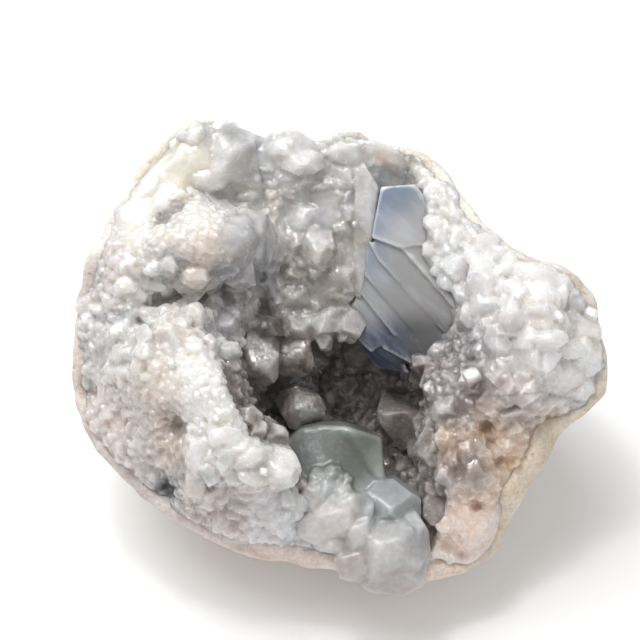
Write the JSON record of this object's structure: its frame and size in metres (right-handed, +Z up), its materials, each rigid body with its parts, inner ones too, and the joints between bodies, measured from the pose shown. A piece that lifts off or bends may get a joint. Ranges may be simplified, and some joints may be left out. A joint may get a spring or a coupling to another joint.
{
  "type": "celestite geode",
  "caption": "Open celestite geode: a pale limestone nodule, flat where it rests, with a hollow lined by pale blue crystals around a deep chamber.",
  "frame": {"origin": "centre of the flat spot that the geode rests on", "axes": "+Z up, +X to the right across the opened face, -Y the side that the hollow opens to; the face's normal points 50 degrees above the horizon"},
  "size_m": [0.1214, 0.0993, 0.0827],
  "materials": {
    "limestone": "matte",
    "druse": "satin",
    "blue_celestite": "gloss",
    "pale_celestite": "gloss"
  },
  "bodies": {
    "root": {"rock_shell": "limestone", "crystal_crust": "druse", "blue_crystal": "blue_celestite", "front_crystals": "pale_celestite"}
  },
  "joints": []
}
